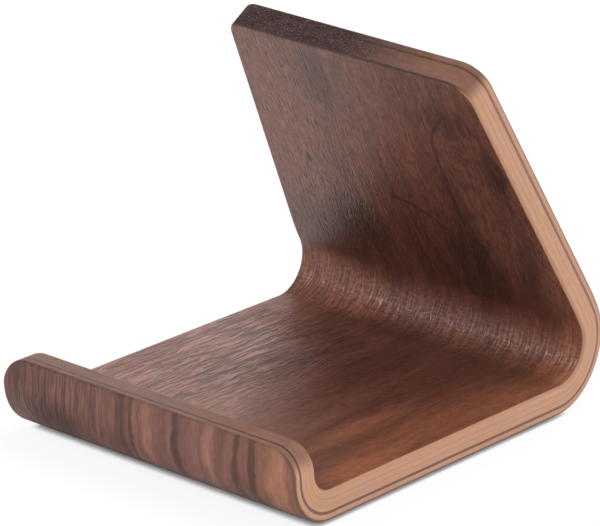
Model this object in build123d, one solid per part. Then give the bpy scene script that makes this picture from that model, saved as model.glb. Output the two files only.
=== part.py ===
from build123d import *
from math import cos, radians, sin, tan
import os

# Phone stand pressed from one sheet of laminated wood, standing on four thin pads.
#
# Millimetres, +Z up.  X runs across the stand, -Y is the front where the low lip stands, and the
# origin lies on the table under the middle of the stand.  Seen from the side the sheet drops down
# the lip, turns into the flat base, and turns back over itself into a backrest that leans forward.

# Outside form of the stand
width = 80.0
depth = 110.0
lip_height = 18.4  # from the underside of the base to the top of the lip
back_angle = 57.5  # between the base and the backrest, in degrees
back_length = 74.0  # flat of the backrest, from the rear bend to its top edge
back_taper = 6.1  # how far each side of the backrest leans inward, in degrees
taper_start = 1.0  # from the rear bend up to where the sides of the backrest start to turn inward

# Radii
front_bend_radius = 6.0  # of the inner skin, in the corner between the lip and the base
rear_bend_radius = 7.8  # of the inner skin, in the corner between the base and the backrest
lip_corner_radius = 6.6
back_left_corner_radius = 4.0  # the two upper corners of the backrest are sanded by hand
back_right_corner_radius = 6.5
shoulder_radius = 50.0  # where the sides of the backrest turn inward
arris_radius = 0.8  # sanded round on every edge of the sheet

# Plies, from the skin that faces the phone to the skin that faces the table
plies = {
    "inner_face_veneer": 0.45,
    "core_ply_1": 1.4,
    "core_ply_2": 1.4,
    "core_ply_3": 1.4,
    "accent_ply": 0.6,
    "outer_core_ply": 1.3,
    "outer_face_veneer": 0.45,
}

# Anti-slip pads under the flat of the base
pad_diameter = 10.0
pad_thickness = 0.8
pad_side_inset = 12.0  # from the side of the base to the middle of a pad
pad_end_inset = 9.0  # from the end of the flat to the middle of a pad
pad_edge_radius = 0.2

# How far a cutting shape runs past the sheet it cuts
spare = 1.0

sheet = sum(plies.values())
base_bottom = pad_thickness
lip_top = base_bottom + lip_height
front_face = -depth / 2
lip_inner_face = front_face + sheet
front_axis = Vector(lip_inner_face + front_bend_radius, base_bottom + sheet + front_bend_radius)
rear_axis = Vector(depth / 2 - sheet - rear_bend_radius, base_bottom + sheet + rear_bend_radius)
back_up = Vector(0, -cos(radians(back_angle)), sin(radians(back_angle)))
back_out = Vector(0, sin(radians(back_angle)), cos(radians(back_angle)))
back_foot = Vector(0, rear_axis.X, rear_axis.Y) + back_out * rear_bend_radius


def side_line(below):
    """The bent sheet seen from the side, at a depth below its inner skin, in five runs."""
    lip_y = lip_inner_face - below
    lip = Line((lip_y, lip_top + spare), (lip_y, front_axis.Y))
    front_bend = JernArc(lip @ 1, lip % 1, front_bend_radius + below, 90)
    base = Line(front_bend @ 1, (rear_axis.X, (front_bend @ 1).Y))
    rear_bend = JernArc(base @ 1, base % 1, rear_bend_radius + below, 180 - back_angle)
    back = Line(rear_bend @ 1, rear_bend @ 1 + rear_bend % 1 * (back_length + spare))
    return [lip, front_bend, base, rear_bend, back]


def bent_slab(top, bottom, across, first=0, last=5):
    """Solid between two depths below the inner skin, over the runs first to last."""
    upper = side_line(top)[first:last]
    lower = side_line(bottom)[first:last]
    ends = [Line(upper[0] @ 0, lower[0] @ 0), Line(upper[-1] @ 1, lower[-1] @ 1)]
    return extrude(Plane.YZ * make_face(upper + lower + ends), across / 2, both=True)


def lip_blank():
    """Lip and front bend, with the lip's two upper corners cut round."""
    sides = FilletPolyline(
        (-width / 2, base_bottom - spare),
        (-width / 2, lip_top),
        (width / 2, lip_top),
        (width / 2, base_bottom - spare),
        radius=lip_corner_radius,
    )
    front_view = make_face([*sides.edges(), Line(sides @ 1, sides @ 0)])
    cutter = extrude(Plane.XZ.offset(-front_axis.X) * front_view, front_axis.X - front_face + spare)
    return bent_slab(0, sheet, width + 2 * spare, 0, 2) & cutter


def back_blank():
    """Flat backrest, narrower towards its top edge, drawn on its inner skin."""
    shoulder = taper_start + shoulder_radius * tan(radians(back_taper / 2))
    half_top = width / 2 - (back_length - shoulder) * tan(radians(back_taper))
    sides = FilletPolyline(
        (-width / 2, 0),
        (-width / 2, shoulder),
        (-half_top, back_length),
        (half_top, back_length),
        (width / 2, shoulder),
        (width / 2, 0),
        radius=[shoulder_radius, back_right_corner_radius, back_left_corner_radius, shoulder_radius],
    )
    outline = make_face([*sides.edges(), Line(sides @ 1, sides @ 0)])
    inner_skin = Plane(back_foot, x_dir=(-1, 0, 0), z_dir=back_out)
    return extrude(inner_skin * outline, sheet)


def rim_edges(blank):
    """Edges where the two skins of the sheet meet its cut edge all the way round."""
    lip_end = Vector(0, front_face + sheet / 2, lip_top)
    back_end = back_foot + back_up * back_length + back_out * (sheet / 2)
    cut_faces = [blank.faces().sort_by_distance(end)[0] for end in (lip_end, back_end)]
    cut_faces += [face for face in blank.faces() if abs(face.normal_at().X) > 0.01]
    around = [edge for face in cut_faces for edge in face.edges()]
    return [edge for edge in around if sum(edge.is_same(other) for other in around) == 1]


def sheet_blank():
    """The whole bent sheet as one solid, with its arrises sanded round."""
    base = bent_slab(0, sheet, width, 2, 4)
    blank = (lip_blank() + base + back_blank()).clean()
    return fillet(rim_edges(blank), arris_radius)


def make_plies():
    """The blank split into its plies, named from the inner skin outward."""
    blank = sheet_blank()
    made = {}
    top = 0.0
    for name, thickness in plies.items():
        bottom = top + thickness
        upper = -spare if name == "inner_face_veneer" else top
        lower = sheet + spare if name == "outer_face_veneer" else bottom
        made[name] = blank & bent_slab(upper, lower, width + 2 * spare)
        top = bottom
    return made


def make_pads():
    """Four round pads, each stuck under a corner of the flat of the base."""
    disc = Pos(0, 0, pad_thickness / 2) * Cylinder(pad_diameter / 2, pad_thickness)
    pad = fillet(disc.edges().group_by(Axis.Z)[0], pad_edge_radius)
    across = {"left": pad_side_inset - width / 2, "right": width / 2 - pad_side_inset}
    along = {"front": front_axis.X + pad_end_inset, "rear": rear_axis.X - pad_end_inset}
    return {f"{end}_{side}_pad": Pos(x, y, 0) * pad for end, y in along.items() for side, x in across.items()}


os.makedirs("parts", exist_ok=True)
for name, piece in {**make_plies(), **make_pads()}.items():
    piece.label = name
    export_step(piece, f"parts/{name}.step")
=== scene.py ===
"""Desk stand for a phone, bent from one sheet of laminated walnut, in metres, +Z up, its front at -Y."""

from math import cos, pi, radians, sin

import bpy
from mathutils import Matrix, Vector


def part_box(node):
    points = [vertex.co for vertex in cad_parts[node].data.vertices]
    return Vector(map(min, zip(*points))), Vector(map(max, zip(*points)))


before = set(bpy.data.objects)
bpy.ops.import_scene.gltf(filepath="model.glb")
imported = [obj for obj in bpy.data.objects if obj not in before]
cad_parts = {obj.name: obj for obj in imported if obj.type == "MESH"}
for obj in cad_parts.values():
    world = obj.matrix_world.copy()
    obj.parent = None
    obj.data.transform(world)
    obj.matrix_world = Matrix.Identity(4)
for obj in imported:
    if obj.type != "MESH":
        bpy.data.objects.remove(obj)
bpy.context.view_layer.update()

# ------------------------------------------------------------------------------------------------
# The bent sheet
# Seven plies are glued over each other and pressed together in one mould, so they share its two
# bends. Their grain runs from the lip, through both bends, to the top of the backrest, and every
# wood finish below follows it, in millimetres.
# ------------------------------------------------------------------------------------------------
mm_per_metre = 1000.0
sheet_thickness = 7.0
front_bend_radius = 6.0
rear_bend_radius = 7.8
back_angle = radians(57.5)
rear_sweep = pi - back_angle

outside_low, outside_high = (mm_per_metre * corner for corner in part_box("outer_face_veneer"))
base_top = outside_low.z + sheet_thickness
front_axis_y = outside_low.y + sheet_thickness + front_bend_radius
front_axis_z = base_top + front_bend_radius
rear_axis_y = outside_high.y - sheet_thickness - rear_bend_radius
rear_axis_z = base_top + rear_bend_radius

# Along the flat sheet, the base starts at 0, and the rear bend and the backrest follow it.
rear_bend_start = rear_axis_y - front_axis_y
rear_bend_end = rear_bend_start + rear_sweep * rear_bend_radius


class Wire:
    """An output of a material's nodes. Arithmetic on it adds Math nodes, and node() adds any other kind."""

    def __init__(self, tree, socket=None):
        self.tree = tree
        self.socket = socket

    def node(self, kind, settings=None, output=0, **inputs):
        """Adds a node. Its inputs go by name, with _ for a space, or by number, as i0 or i1."""
        made = self.tree.nodes.new("ShaderNode" + kind)
        for name, value in (settings or {}).items():
            setattr(made, name, value)
        for name, value in inputs.items():
            given = made.inputs[int(name[1:]) if name[1:].isdigit() else name.replace("_", " ")]
            if isinstance(value, Wire):
                self.tree.links.new(value.socket, given)
            else:
                given.default_value = value
        return Wire(self.tree, made.outputs[output] if made.outputs else None)

    def maths(self, operation, a, b=0.0):
        return self.node("Math", {"operation": operation}, i0=a, i1=b)

    def __add__(self, other):
        return self.maths("ADD", self, other)

    def __radd__(self, other):
        return self.maths("ADD", other, self)

    def __sub__(self, other):
        return self.maths("SUBTRACT", self, other)

    def __rsub__(self, other):
        return self.maths("SUBTRACT", other, self)

    def __mul__(self, other):
        return self.maths("MULTIPLY", self, other)

    def __rmul__(self, other):
        return self.maths("MULTIPLY", other, self)

    def __gt__(self, other):
        return self.maths("GREATER_THAN", self, other)

    def __abs__(self):
        return self.maths("ABSOLUTE", self)

    def rise(self, start, end):
        """0 before start and 1 after end, easing between them. Where end is the lower, it falls instead."""
        low, high = min(start, end), max(start, end)
        first, last = (0.0, 1.0) if start < end else (1.0, 0.0)
        ease = {"interpolation_type": "SMOOTHSTEP"}
        reach = {"From_Min": low, "From_Max": high, "To_Min": first, "To_Max": last}
        return self.node("MapRange", ease, Value=self, **reach)

    def place(self):
        """Across, back and up from the origin, in millimetres."""
        point = self.node("TexCoord", output="Object")
        return (mm_per_metre * self.node("SeparateXYZ", output=axis, Vector=point) for axis in "XYZ")

    def noise(self, x, y, z, detail, roughness):
        """A cloudy pattern around 0.5. The larger the numbers that it is given, the finer it is."""
        point = self.node("CombineXYZ", X=x, Y=y, Z=z)
        return self.node("TexNoise", Vector=point, Scale=1.0, Detail=detail, Roughness=roughness)

    def paint(self, colour):
        """One plain colour, for the finish to start from."""
        made = self.node("RGB")
        made.socket.default_value = (*colour, 1)
        return made

    def covered(self, colour, share):
        """This colour, covered by another in that share."""
        return self.node("Mix", {"data_type": "RGBA"}, output=2, i0=share, i6=self, i7=colour)

    def gained(self, gain):
        """This colour, lighter or darker by gain."""
        return self.node("VectorMath", {"operation": "SCALE"}, Vector=self, Scale=gain)

    def tinted(self, tint):
        """This colour, with its red, green and blue each lighter or darker."""
        return self.node("VectorMath", {"operation": "MULTIPLY"}, i0=self, i1=tint)


class Sheet:
    """Where a point of the bent sheet lay while it was flat, and which kind of face it is on.

    across runs from -40 at the left to 40, and below is the depth under the inner face. along runs up
    the sheet: on the inner face the lip ends at -15, the base runs from 0 to 82, the rear bend to 99
    and the backrest to 173.
    """

    def __init__(self, wire):
        x, y, z = wire.place()

        behind, above = y - rear_axis_y, z - rear_axis_z
        up = above * sin(back_angle) - behind * cos(back_angle)
        out = behind * sin(back_angle) + above * cos(back_angle)
        on_back = (up > 0.0) * (out > 0.0)
        past_rear = (behind > 0.0) * (1 - on_back)
        rear_reach = wire.maths("SQRT", behind * behind + above * above)
        rear_turn = wire.maths("ARCTAN2", behind, 0 - above)

        before, over = front_axis_y - y, z - front_axis_z
        self.on_lip = (before > 0.0) * (over > 0.0)
        past_front = (before > 0.0) * (1 - self.on_lip)
        front_reach = wire.maths("SQRT", before * before + over * over)
        front_turn = wire.maths("ARCTAN2", before, 0 - over)
        on_base = 1 - on_back - past_rear - self.on_lip - past_front

        self.across = x
        self.below = (
            on_back * (out - rear_bend_radius)
            + past_rear * (rear_reach - rear_bend_radius)
            + on_base * (base_top - z)
            + past_front * (front_reach - front_bend_radius)
            + self.on_lip * (before - front_bend_radius)
        )
        self.along = (
            on_back * (rear_bend_start + rear_sweep * (self.below + rear_bend_radius) + up)
            + past_rear * (rear_bend_start + rear_turn * rear_reach)
            + on_base * (y - front_axis_y)
            - past_front * (front_turn * front_reach)
            - self.on_lip * (pi / 2 * (self.below + front_bend_radius) + over)
        )
        into_bend = self.along.rise(rear_bend_start - 5, rear_bend_start + 6)
        out_of_bend = self.along.rise(rear_bend_end + 5, rear_bend_end - 9)
        self.in_rear_bend = into_bend * out_of_bend

        facing = wire.node("NewGeometry", output="Normal")
        nx, ny, nz = (wire.node("SeparateXYZ", output=axis, Vector=facing) for axis in "XYZ")
        up_back = abs(nz * sin(back_angle) - ny * cos(back_angle))
        self.end_grain = (on_back * up_back + self.on_lip * abs(nz)).rise(0.2, 0.75)
        self.side = abs(nx).rise(0.12, 0.5)


# ------------------------------------------------------------------------------------------------
# Core plies
# Four sheets of a light hardwood, laid one over the other and glued. They show only at the cut
# edges, which are sanded and oiled: long grain and thin brown glue lines along the sides, and end
# grain on top of the lip and of the backrest.
# ------------------------------------------------------------------------------------------------
veneer_thickness = 0.45
core_thickness = 1.4
outer_core_top, outer_core_thickness = 5.25, 1.3
light_wood = (0.44, 0.236, 0.157)
outer_light_wood = (0.42, 0.23, 0.16)
ruddy_wood = (0.43, 0.225, 0.15, 1)
end_grain_wood = (0.30, 0.165, 0.15)
glue_edge, glue_middle = 0.16, 0.03
stain_start, stain_full = 6.15, 6.45


def new_material(name):
    """A bare material, and a wire in it."""
    material = bpy.data.materials.new(name)
    material.use_nodes = True
    material.node_tree.nodes.clear()
    return material, Wire(material.node_tree)


def finish(node, wire, material, colour, roughness, relief, gloss=0.5, sheen=(1, 1, 1, 1)):
    """Puts a material on a CAD node, with its colour, its roughness and its relief in millimetres."""
    skin = wire.node("Bump", Strength=1.0, Distance=1 / mm_per_metre, Height=relief)
    shine = {"IOR": 1.5, "Specular_IOR_Level": gloss, "Specular_Tint": sheen}
    surface = wire.node("BsdfPrincipled", Base_Color=colour, Roughness=roughness, Normal=skin, **shine)
    wire.node("OutputMaterial", Surface=surface)
    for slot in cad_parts[node].material_slots:
        slot.link = "OBJECT"
        slot.material = material


def core(node, wood, seed, top, thickness):
    """Finishes one inner ply, which lies from depth top in the sheet downwards."""
    material, wire = new_material(node)
    sheet = Sheet(wire)
    across, along, below = sheet.across, sheet.along, sheet.below
    streak = wire.noise(across * 0.8 + seed, along * 0.04, below * 1.7, 4.0, 0.6)
    fine = wire.noise(across * 5 + seed, along * 0.35, below * 8.0, 3.0, 0.6)
    cloud = wire.noise(across * 0.1 + seed, along * 0.07, below * 0.6, 3.0, 0.55)

    # The long edge: golden clouds, a ruddier backrest, glue lines, and the outer veneer's dark stain.
    red, green, blue = wood
    golden = (red * 1.04, green * 1.04, blue * 0.8, 1)
    light = wire.paint(wood).covered(golden, cloud.rise(0.56, 0.36) * 0.8)
    light = light.covered(ruddy_wood, along.rise(70, 130) * 0.2)
    depth = below - top
    glue = depth.rise(glue_edge, glue_middle) + depth.rise(thickness - glue_edge, thickness - glue_middle)
    stain = below.rise(stain_start, stain_full)
    gain = (0.56 + 0.4 * streak + 0.34 * fine + 0.12 * cloud) * (1 - 0.2 * glue) * (1 - 0.5 * stain)
    side = light.gained(gain)

    # The end grain: dark and dotted with cut fibres at the left, worn to clear wood at the right.
    dots = wire.noise(across * 2.4 + seed, along * 0.3, below * 3.0, 3.0, 0.7)
    rays = wire.noise(across * 0.22 + seed, along * 0.02, below * 0.7, 3.0, 0.6)
    dotted = wire.paint(end_grain_wood).gained(0.2 * rays + 0.5 * dots.rise(0.5, 0.72))
    worn = light.tinted((0.94, 0.84, 0.88)).gained(0.27 + 0.42 * rays + 0.1 * fine)
    clear = across.rise(-6, 27) * 0.8
    clear = clear + (1 - clear) * sheet.on_lip * 0.6
    colour = side.covered(dotted.covered(worn, clear), sheet.end_grain)

    rough = 0.42 + 0.12 * fine + (0.3 - 0.25 * sheet.on_lip) * sheet.end_grain
    relief = 0.02 * fine - 0.02 * dots * sheet.end_grain
    finish(node, wire, material, colour, rough, relief, gloss=0.2)


for number in range(3):
    top = veneer_thickness + core_thickness * number
    core(f"core_ply_{number + 1}", light_wood, seed=31.0 * number, top=top, thickness=core_thickness)
core("outer_core_ply", outer_light_wood, seed=170.0, top=outer_core_top, thickness=outer_core_thickness)

# ------------------------------------------------------------------------------------------------
# Accent ply
# One thin sheet of dark wood, glued between the core plies and the outermost one. It is the dark
# line that follows the outer side of the edge all the way round.
# ------------------------------------------------------------------------------------------------
accent_top = veneer_thickness + 3 * core_thickness
core("accent_ply", (0.17, 0.08, 0.055), seed=230.0, top=accent_top, thickness=outer_core_top - accent_top)

# ------------------------------------------------------------------------------------------------
# Face veneers
# Two sheets of sliced walnut, under half a millimetre thick, glued on last and rubbed with satin
# oil. Their pores are left open, most coarsely at the left of the base, and the inner one is
# squeezed into a fine crinkle by the rear bend.
# ------------------------------------------------------------------------------------------------
oil_sheen = (1, 0.92, 0.91, 1)
# The greyer tint stands in for a painted sheen; the yellower one is the wood's own golden tone.
painted_sheen_grey, yellower = (0.93, 1.07, 1.2), (1.01, 1.02, 0.84)

# Patches of each veneer: place across and along, half width, half length, how much paler or darker.
# In the inner veneer, the paler patches along the rear bend are a painted highlight, and the darker
# ones low on the backrest and in and just before the bend are painted shade.
inner_patches = [
    (-11, 160, 5, 13, -0.2),
    (-16, 114, 9, 9, -0.18),
    (31, 146, 3, 9, -0.25),
    (14, 105, 13, 16, -0.1),
    (-26, 108, 14, 12, -0.2),
    (-28, 138, 17, 40, 0.14),
    (10, 112, 34, 28, -0.17),
    (-6, 150, 12, 18, 0.04),
    (27, 142, 9, 26, -0.1),
    (38, 108, 6, 22, 0.15),
    (-24.3, 132, 0.8, 1.6, -0.6),
    (-31, 55, 3, 4, 0.35),
    (-12, 98, 4, 16, -0.12),
    (-30, 89, 16, 9, 0.42),
    (-8, 83, 12, 5, -0.12),
    (38, 90, 7, 9, 0.45),
    (-24, 16, 36, 42, 0.36),
    (-33, 60, 14, 26, 0.6),
    (-20, 55, 9, 18, 0.22),
    (-33, 28, 7, 16, 0.12),
    (34, 50, 7, 40, 0.22),
    (23, 30, 4, 24, 0.28),
    (38, 12, 7, 18, 0.33),
    (10, 96, 20, 5, 0.12),
    (24, 125, 5, 20, 0.2),
    (22, 159, 9, 6, -0.15),
]
outer_patches = [
    (-6.6, -18, 1.1, 14, -0.35),
    (-4.0, -18, 0.6, 14, -0.35),
    (7.8, -18, 1.3, 14, -0.45),
    (24.3, -18, 1.0, 14, -0.4),
    (28.5, -18, 1.3, 14, -0.45),
    (-26, -14, 7, 6, -0.35),
    (-32, -18, 14, 14, -0.15),
    (0.2, -18, 1.6, 14, 0.4),
    (17.2, -18, 2.2, 14, 0.35),
    (35.3, -17, 3.2, 12, 0.5),
    # Painted shade: a long dark band along the underside of the front bend, where it turns towards the
    # floor.
    (0, -3, 90, 7, -0.45),
]


def oval(wire, across, along, ragged, patch):
    """1 inside an oval patch of the veneer and 0 outside it, with a ragged edge."""
    middle_across, middle_along, half_width, half_length = patch
    sideways = (across - middle_across) * (1 / half_width)
    lengthways = (along - middle_along) * (1 / half_length)
    away = wire.maths("SQRT", sideways * sideways + lengthways * lengthways)
    return (away + 0.9 * (ragged - 0.5)).rise(1.25, 0.25)


def hairlines(wire, x, y, z, width):
    """Thin lines along the grain, where a stretched noise crosses its middle."""
    return abs(wire.noise(x, y, z, 1.0, 0.5) - 0.5).rise(width, 0.0)


def growth_curls(wire, across, along):
    """Two dark growth lines that curl across the backrest, one upright and one level."""
    past = wire.maths("MAXIMUM", along - 148.0, 0.0)
    upright = abs(across - (15.7 + 0.045 * past * past))
    level = abs(along - (126.7 - 0.038 * (across + 3) * (across + 3)))
    first = upright.rise(0.9, 0.1) * along.rise(122, 132) * along.rise(164, 158)
    second = level.rise(0.9, 0.1) * across.rise(-5, -2) * across.rise(15, 9)
    return first + second


def veneer(node, seed, patches, curled, band, contrast, streaks, gloss, pale, deep, rim):
    """Finishes one face veneer, from its deep wood to its pale, with its sanded edge in the rim colour.

    band is how close its bands lie, contrast how much they differ, and streaks how strong its grain is.
    """
    material, wire = new_material(node)
    sheet = Sheet(wire)
    across, along, below = sheet.across, sheet.along, sheet.below
    crinkled, on_back = sheet.in_rear_bend, along.rise(98, 112)

    # Growth rings: the cut runs through them in slow waves, which swirl at the right of the backrest.
    slow = wire.noise(across * 0.028 + seed, along * 0.011, below * 0.05, 2.0, 0.5) - 0.5
    swirl = wire.noise(across * 0.06 + seed, along * 0.028, 3.0, 2.0, 0.5) - 0.5
    wavy = across + 2.6 * (wire.noise(across * 0.2, along * 0.17, seed, 2.0, 0.6) - 0.5)
    ring = wavy + slow * 26 + swirl * 22 * across.rise(-12, 22) * along.rise(80, 120)
    bands = wire.noise(ring * band, along * 0.006, seed, 3.0, 0.5)
    growth = wire.noise(ring * 0.7, along * 0.05, seed, 4.0, 0.65)
    figure = contrast * (bands - 0.5) + 0.45 * (growth - 0.5)

    # Fibres, pores and hairlines, all drawn out along the grain.
    line = 0.4 * across + 0.6 * wavy + slow * 5
    fibre = wire.noise(line * 6.5, along * 0.16, below * 6.5 + seed, 3.0, 0.65)
    pores = wire.noise(line * 3.6, along * 0.3, below * 3.6 + seed, 2.0, 0.6).rise(0.55, 0.68)
    mottle = wire.noise(line * 0.6, along * 0.3, below + seed, 3.0, 0.6)
    speckle = wire.noise(line * 1.2, along * 0.6, below + seed, 4.0, 0.75)
    hairs = hairlines(wire, line * 1.3, along * 0.03, below * 2.3 + seed, 0.12)
    hair_depth = 0.1 + 0.15 * crinkled

    # Open grooves, coarse at the left of the base and almost closed elsewhere.
    coarse = 0.12 + 0.88 * across.rise(8, -20) * along.rise(84, 66)
    open_grain = wire.noise(line * 0.7 + seed, along * 0.11, 6.0, 2.0, 0.6).rise(0.34, 0.5)
    ribs = wire.noise(line * 2.5, along * 0.075, below + seed, 1.0, 0.5).rise(0.56, 0.42)
    grooves = ribs * open_grain * coarse
    dashes = hairlines(wire, line * 1.7, along * 0.07, below * 2.3 + seed, 0.16) * coarse

    # Short ticks at the left of the base and low on the right of the backrest.
    ticks = wire.noise(line * 2.1, along * 0.34, below * 2.1 + seed, 1.0, 0.5).rise(0.5, 0.64)
    left = across.rise(6, -22) * along.rise(70, 90)
    low_right = across.rise(2, 16) * on_back * along.rise(146, 126)
    ticks = ticks * (left + low_right)

    # The crinkle: threads along the grain, crossed by wrinkles.
    threads = wire.noise(line * 1.5, along * 0.1, below * 2.0 + seed, 1.0, 0.5).rise(0.44, 0.56)
    wrinkles = wire.noise(across * 0.6, along * 1.25, seed, 1.0, 0.5).rise(0.44, 0.56)
    weave = (0.6 * threads + 0.4 * wrinkles) * crinkled

    # Pale and dark wood: the figure, the patches, and a painted highlight along the middle of the rear
    # bend.
    # Painted highlight: the middle of the rear bend made paler, most towards its left.
    painted_bend_highlight = along.rise(83, 89) * along.rise(96, 90) * (0.3 + 0.7 * across.rise(-8, -26))
    shade = 0.42 + figure * (0.5 + 0.5 * across.rise(-28, -8)) + 0.45 * painted_bend_highlight + 0.22 * crinkled
    ragged = wire.noise(across * 0.35 + seed, along * 0.07, 1.0, 3.0, 0.6)
    for *patch, paler in patches:
        shade = shade + paler * oval(wire, wavy, along, ragged, patch)
    colour = wire.paint(deep).covered(pale, shade.rise(-0.05, 1.15))

    # How much each kind of grain darkens or lightens the wood.
    grain = (1 - 0.4 * streaks + 0.8 * streaks * fibre) * (1 - 0.35 * streaks * pores)
    grain = grain * (1 + 0.22 * coarse * streaks) * (1 - 0.57 * streaks * grooves)
    grain = grain * (1 - streaks * hair_depth * hairs) * (1 - 0.15 * ticks)
    grain = grain * (1 + (mottle - 0.5) * (0.7 + 0.6 * on_back - 0.4 * coarse))
    grain = grain * (1 + (speckle - 0.5) * (0.2 + 0.7 * on_back))
    grain = grain * (1 - 0.3 * streaks * dashes) * (1 - 0.52 * weave)
    if curled:
        grain = grain * (1 - 0.45 * growth_curls(wire, across, along))
    colour = colour.gained(grain)

    # Painted sheen: a greyer tint towards the right, kept off the golden wood near the rim of the base.
    near_rim = across.rise(16, 34) * along.rise(98, 86)
    sheen_towards_right = across.rise(0, 24) * (0.5 * along.rise(70, 20) + on_back)
    colour = colour.covered(colour.tinted(painted_sheen_grey), sheen_towards_right * 0.8 + 0.2 - 0.6 * near_rim)
    colour = colour.covered(colour.tinted(yellower), near_rim)
    colour = colour.covered(rim, sheet.side * 0.95 * across.rise(-50, 0))
    colour = colour.gained(1 - sheet.end_grain * (0.75 - 0.55 * sheet.on_lip))

    # A satin gloss, duller where the base nears the bend, in pores and grooves, and on sanded edges.
    near_bend = along.rise(56, 74) * along.rise(92, 82)
    rough = 0.39 - 0.015 * on_back + 0.15 * near_bend + 0.34 * weave - 0.12 * crinkled
    rough = rough + 0.08 * pores + 0.1 * grooves + 0.2 * sheet.side + 0.2 * sheet.end_grain
    relief = 0.012 * fibre - 0.012 * pores - 0.13 * grooves
    relief = relief - 0.1 * hair_depth * hairs - 0.09 * weave - 0.06 * ticks
    finish(node, wire, material, colour, rough, relief, gloss, oil_sheen)


veneer(
    "inner_face_veneer",
    seed=0.0,
    patches=inner_patches,
    curled=True,
    band=0.13,
    contrast=0.55,
    streaks=1.0,
    gloss=0.48,
    pale=(0.31, 0.1045, 0.061, 1),
    deep=(0.039, 0.0118, 0.0072),
    rim=(0.42, 0.215, 0.115, 1),
)
veneer(
    "outer_face_veneer",
    seed=57.0,
    patches=outer_patches,
    curled=False,
    band=0.3,
    contrast=0.85,
    streaks=0.6,
    gloss=0.35,
    pale=(0.35, 0.145, 0.102, 1),
    deep=(0.08, 0.029, 0.022),
    rim=(0.12, 0.06, 0.045, 1),
)

# ------------------------------------------------------------------------------------------------
# Pads
# Four round pads of soft black foam rubber, punched from a sheet and stuck under the flat of the
# base near its corners, so that the stand neither slides nor scratches the desk.
# ------------------------------------------------------------------------------------------------
foam_black = (0.02, 0.02, 0.021)
for node in ("front_left_pad", "front_right_pad", "rear_left_pad", "rear_right_pad"):
    material, wire = new_material(node)
    x, y, z = wire.place()
    cells = wire.noise(x * 3, y * 3, z * 3, 3.0, 0.6)
    black = wire.paint(foam_black).gained(0.7 + 0.6 * cells)
    finish(node, wire, material, black, roughness=0.6 + 0.2 * cells, relief=0.03 * cells)

# ------------------------------------------------------------------------------------------------
# Floor and walls
# A matt white floor, and pale walls that light the stand most from low down. The camera sees both
# as almost plain white, with a faint shadow on the floor that is deepest in the crevice.
# ------------------------------------------------------------------------------------------------
floor_half_width = 2.5
crevice_reach = 0.002
corners = [Vector(corner) * floor_half_width for corner in ((-1, -1, 0), (1, -1, 0), (1, 1, 0), (-1, 1, 0))]
floor_mesh = bpy.data.meshes.new("floor")
floor_mesh.from_pydata(corners, [], [(0, 1, 2, 3)])
floor = bpy.data.objects.new("floor", floor_mesh)
bpy.context.scene.collection.objects.link(floor)
floor_paint, wire = new_material("pale_floor")
seen = wire.node("LightPath", output="Is Camera Ray")
open_floor = wire.node("AmbientOcclusion", output="AO", Distance=crevice_reach)
matt = wire.node("BsdfDiffuse", Color=(0.94, 0.94, 0.94, 1))
glow = wire.node("Emission", Color=(1, 1, 1, 1), Strength=1.0)
floor_look = wire.node("MixShader", i0=seen * open_floor.rise(0.15, 0.7) * 0.88, i1=matt, i2=glow)
wire.node("OutputMaterial", Surface=floor_look)
floor_mesh.materials.append(floor_paint)

studio = bpy.data.worlds.new("studio")
bpy.context.scene.world = studio
studio.use_nodes = True
studio.node_tree.nodes.clear()
wire = Wire(studio.node_tree)
seen = wire.node("LightPath", output="Is Camera Ray")
height = wire.node("SeparateXYZ", output="Z", Vector=wire.node("TexCoord", output="Generated"))
walls = 0.3 + 0.75 * height.rise(0.72, 0.3)
wall_look = wire.node("Background", Color=(1, 1, 1, 1), Strength=wire.maths("MAXIMUM", walls, seen))
wire.node("OutputWorld", Surface=wall_look)

# ------------------------------------------------------------------------------------------------
# Lamps
# One softbox stands at the front left, one at the right, one hangs overhead, and one stands behind,
# so that its long reflection lies in the rear bend. All are turned to the middle of the stand.
# ------------------------------------------------------------------------------------------------
stand_middle = Vector((0, 0, 0.04))


def softbox(name, place, width, height, watts):
    lamp = bpy.data.lights.new(name, "AREA")
    lamp.shape = "RECTANGLE"
    lamp.size, lamp.size_y = width, height
    lamp.energy = watts
    box = bpy.data.objects.new(name, lamp)
    box.location = place
    box.rotation_mode = "QUATERNION"
    box.rotation_quaternion = (stand_middle - Vector(place)).to_track_quat("-Z", "Y")
    bpy.context.scene.collection.objects.link(box)


softbox("front_left_softbox", (-0.7, -0.7, 0.75), width=0.35, height=0.35, watts=4.3)
softbox("right_softbox", (0.9, -0.3, 0.5), width=0.6, height=0.6, watts=2.4)
softbox("top_softbox", (0.25, 0.35, 1.1), width=0.8, height=0.8, watts=8.6)
softbox("rear_softbox", (-0.41, 1.15, 0.5), width=0.7, height=0.6, watts=6.5)

# ------------------------------------------------------------------------------------------------
# Camera
# It stands about a metre away, at the front right and a little above the stand, with a long lens
# and a slight tilt to one side.
# ------------------------------------------------------------------------------------------------
azimuth = radians(37.33)
elevation = radians(19.96)
roll = radians(3.0)
distance = 0.97572
aim = Vector((-0.00085, -0.00345, 0.03701))
back = Vector((sin(azimuth) * cos(elevation), -cos(azimuth) * cos(elevation), sin(elevation)))
right = (-back).cross(Vector((0, 0, 1))).normalized()
up = right.cross(-back)
rolled_right = right * cos(roll) + up * sin(roll)
rolled_up = up * cos(roll) - right * sin(roll)
turn = Matrix((rolled_right, rolled_up, back)).transposed().to_4x4()
camera = bpy.data.objects.new("camera", bpy.data.cameras.new("camera"))
camera.data.sensor_width = 36
camera.data.lens = 271.1
camera.data.clip_start = 0.01
camera.matrix_world = Matrix.Translation(aim + back * distance) @ turn
bpy.context.scene.collection.objects.link(camera)
bpy.context.scene.camera = camera
bpy.context.scene.view_settings.view_transform = "Standard"
